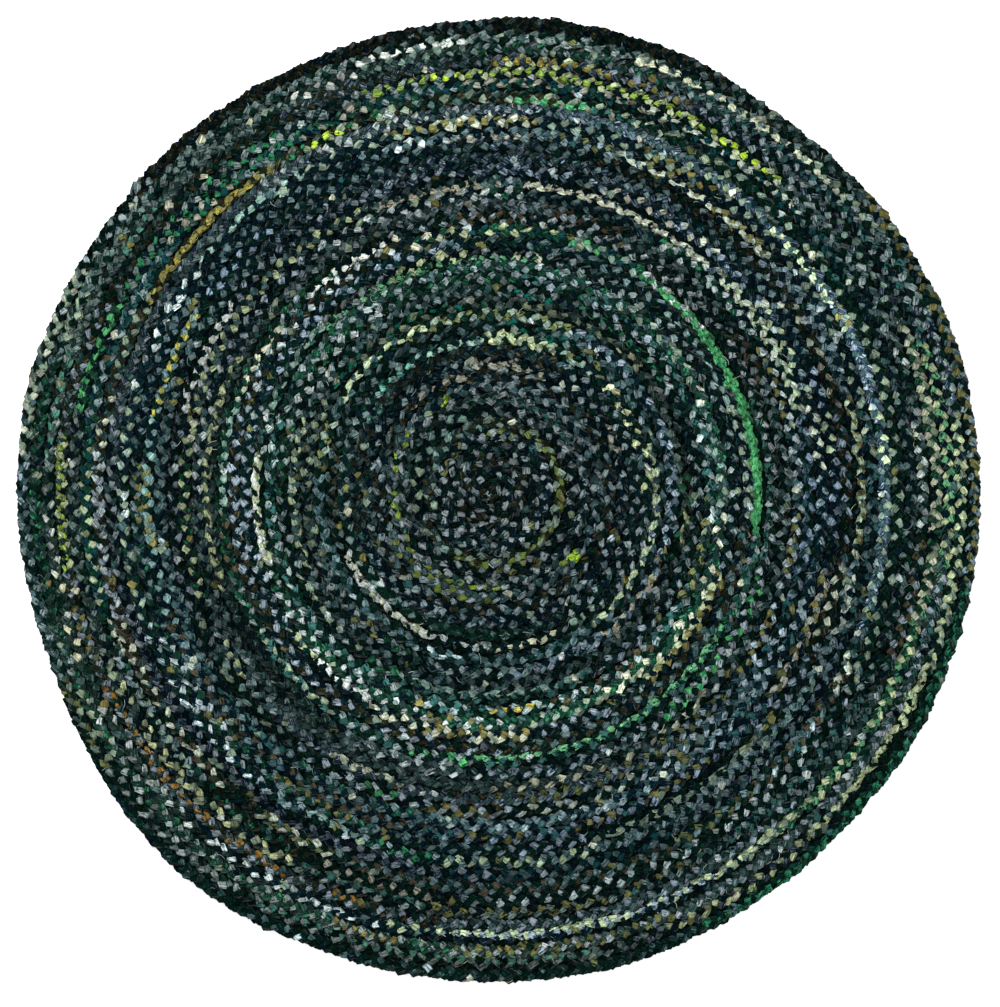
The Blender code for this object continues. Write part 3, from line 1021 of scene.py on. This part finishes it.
def noise(tree, vector, per_metre, detail):
    """Noise that has its own number of spots per metre in each direction."""
    inputs = {"Vector": stretched(tree, vector, per_metre), "Scale": 1.0, "Detail": detail}
    return add_node(tree, "TexNoise", inputs)["Fac"]


def even_noise(tree, per_metre, detail):
    """Noise with as many spots per metre in every direction, fixed to the object."""
    place = add_node(tree, "TexCoord", {})["Object"]
    return noise(tree, place, (per_metre, per_metre, per_metre), detail)


def wave(tree, value, length):
    """A sine wave from 0 to 1."""
    cycles = calc(tree, "MULTIPLY", value, math.tau / length)
    return calc(tree, "MULTIPLY_ADD", calc(tree, "SINE", cycles), 0.5, 0.5)


def new_material(name):
    """A cloth material: no gloss, a soft sheen."""
    material = bpy.data.materials.new(name)
    material.use_nodes = True
    shader = material.node_tree.nodes["Principled BSDF"]
    shader.inputs["Specular IOR Level"].default_value = 0.0
    shader.inputs["Sheen Weight"].default_value = SHEEN
    return material, shader


def finish_cloth(tree, shader, colour, roughness, relief, bump):
    """Gives a cloth its colour and roughness, and raises it by its relief."""
    normal = add_node(tree, "Bump", {"Strength": 1.0, "Distance": bump, "Height": relief})[0]
    tree.links.new(colour, shader.inputs["Base Color"])
    tree.links.new(roughness, shader.inputs["Roughness"])
    tree.links.new(normal, shader.inputs["Normal"])


# ---- materials

Texture = namedtuple("Texture", "lot tone fold streaks creases weave edge")


def rag_texture(tree):
    """Patterns of rag cloth: random facets, streaks, creases, the weave, and the strip's edges."""
    cloth = attribute(tree, "cloth")
    along, across = parts_of(tree, cloth)[:2]
    inputs = {"Vector": stretched(tree, cloth, FACETS), "Scale": 1.0}
    lot, tone, fold = parts_of(tree, add_node(tree, "TexVoronoi", inputs)["Color"])
    streaks = noise(tree, cloth, STREAKS, detail=1.0)
    creases = noise(tree, cloth, CREASES, detail=2.0)
    weft = wave(tree, along, YARN_SPACING)
    weave = calc(tree, "MULTIPLY", weft, wave(tree, across, YARN_SPACING))
    edge = between(tree, calc(tree, "ABSOLUTE", across), *RAG_EDGE)
    return Texture(lot, tone, fold, streaks, creases, weave, edge)


def rag_colour(tree, texture, cover, streak):
    """The strip's colour, with some of its print or reverse, faded streaks and rubbed edges."""
    main = attribute(tree, "rag_colour")
    second = attribute(tree, "rag_print")
    printed = calc(tree, "LESS_THAN", texture.lot, cover)
    colour = mix(tree, printed, main, second)
    faded = calc(tree, "MULTIPLY", streak, between(tree, texture.streaks, *FADED_STREAKS))
    colour = mix(tree, faded, colour, second)
    rubbed = calc(tree, "MULTIPLY", texture.edge, between(tree, texture.streaks, *RUBBED_STREAKS))
    worn = calc(tree, "MULTIPLY", rubbed, MOST_RUBBED)
    return mix(tree, worn, colour, (*linear(*WORN), 1.0))


def rag_shade(tree, texture, hidden):
    """How light the cloth is painted: painted shade in creases and on the facets near a lobe's border,
    painted light and shade on each facet of the crumpled cloth, and the weave.
    """
    border = calc(tree, "MULTIPLY", calc(tree, "MAXIMUM", texture.edge, hidden), MOST_TUCKED)
    tucked = calc(tree, "LESS_THAN", texture.fold, border)
    shade = ranged(tree, between(tree, texture.creases, *SMOOTH_CLOTH), *CREASE_SHADES)
    shades = ((texture.tone, FACET_SHADES), (tucked, TUCKED_SHADES), (texture.weave, WEAVE_SHADES))
    for share, ends in shades:
        shade = calc(tree, "MULTIPLY", shade, ranged(tree, share, *ends))
    return shade


def rag_material():
    """Worn rag cloth: each strip's colour, with its print, weave and rubbed folds, and painted shade
    and light in its creases and on its facets.
    """
    material, shader = new_material("rag_cloth")
    tree = material.node_tree
    texture = rag_texture(tree)
    cover, streak, hidden = parts_of(tree, attribute(tree, "grain"))
    flat_colour = rag_colour(tree, texture, cover, streak)
    colour = scaled_colour(tree, flat_colour, rag_shade(tree, texture, hidden))
    roughness = ranged(tree, texture.streaks, *RAG_ROUGHNESS)
    relief = calc(tree, "MULTIPLY_ADD", texture.weave, WEAVE_RELIEF, texture.creases)
    relief = calc(tree, "MULTIPLY_ADD", texture.streaks, STREAK_RELIEF, relief)
    finish_cloth(tree, shader, colour, roughness, relief, RAG_BUMP)
    return material


def core_material():
    """Painted deep shade for the inside of the braid, mottled with folds."""
    material, shader = new_material("rag_inside_painted_shade")
    tree = material.node_tree
    folds = even_noise(tree, CORE_SPOTS, detail=3.0)
    dark = (*linear(*CORE_DARK), 1.0)
    light = (*linear(*CORE_LIGHT), 1.0)
    colour = mix(tree, between(tree, folds, *CORE_FOLDS), dark, light)
    finish_cloth(tree, shader, colour, ranged(tree, folds, *CORE_ROUGHNESS), folds, CORE_BUMP)
    return material


def thread_material():
    """Loose yarn, with its plies."""
    material, shader = new_material("loose_yarn")
    tree = material.node_tree
    plies = even_noise(tree, PLY_SPOTS, detail=1.0)
    colour = scaled_colour(tree, attribute(tree, "rag_colour"), ranged(tree, plies, *PLY_SHADES))
    finish_cloth(tree, shader, colour, ranged(tree, plies, *YARN_ROUGHNESS), plies, YARN_BUMP)
    return material


# ---- stage

def add_floor():
    """A plain white floor."""
    left, right = -FLOOR_HALF, FLOOR_HALF
    mesh = bpy.data.meshes.new("floor")
    mesh.from_pydata([(left, left, 0), (right, left, 0), (right, right, 0), (left, right, 0)],
                     [], [(0, 1, 2, 3)])
    material, shader = new_material("floor_white")
    shader.inputs["Base Color"].default_value = (FLOOR_GREY, FLOOR_GREY, FLOOR_GREY, 1.0)
    shader.inputs["Roughness"].default_value = 1.0
    shader.inputs["Emission Color"].default_value = (1.0, 1.0, 1.0, 1.0)
    shader.inputs["Emission Strength"].default_value = FLOOR_GLOW
    add_piece("floor", mesh, material)


def add_camera():
    """Looks straight down, from high above, at the frame of the photograph."""
    camera = bpy.data.cameras.new("camera")
    frame_height = PHOTO_HEIGHT * METRES_PER_PIXEL
    camera.sensor_fit = "VERTICAL"
    camera.sensor_height = SENSOR_MM
    camera.lens = SENSOR_MM * (CAMERA_HEIGHT - RUG_HEIGHT) / frame_height
    camera.clip_end = FARTHEST_SEEN
    holder = bpy.data.objects.new("camera", camera)
    holder.location = (*FRAME_MIDDLE, CAMERA_HEIGHT)
    bpy.context.collection.objects.link(holder)
    bpy.context.scene.camera = holder


def add_area_light(light):
    """A soft square light that faces the rug."""
    lamp = bpy.data.lights.new(light.name, "AREA")
    lamp.shape = "SQUARE"
    lamp.size = light.size
    lamp.energy = light.power
    holder = bpy.data.objects.new(light.name, lamp)
    holder.location = light.place
    holder.rotation_euler = (-Vector(light.place)).to_track_quat("-Z", "Y").to_euler()
    bpy.context.collection.objects.link(holder)


def add_lights():
    """Even studio light, a little stronger from the upper left."""
    for light in LIGHTS:
        add_area_light(light)
    world = bpy.data.worlds.new("studio")
    world.use_nodes = True
    backdrop = world.node_tree.nodes["Background"]
    backdrop.inputs["Color"].default_value = (1, 1, 1, 1)
    backdrop.inputs["Strength"].default_value = SKY_STRENGTH
    bpy.context.scene.world = world
    bpy.context.scene.view_settings.view_transform = "Standard"


def main():
    """The rug's pieces, and the stage they are seen on."""
    cloth = rag_material()
    strands = [piece for strand in range(STRANDS) for piece in add_strand(strand, cloth)]
    threads = add_threads(thread_material())
    core = add_core(core_material())
    for piece in (core, threads, *strands):
        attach(piece, "root")
        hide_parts(NODE)
    add_floor()
    add_camera()
    add_lights()


main()
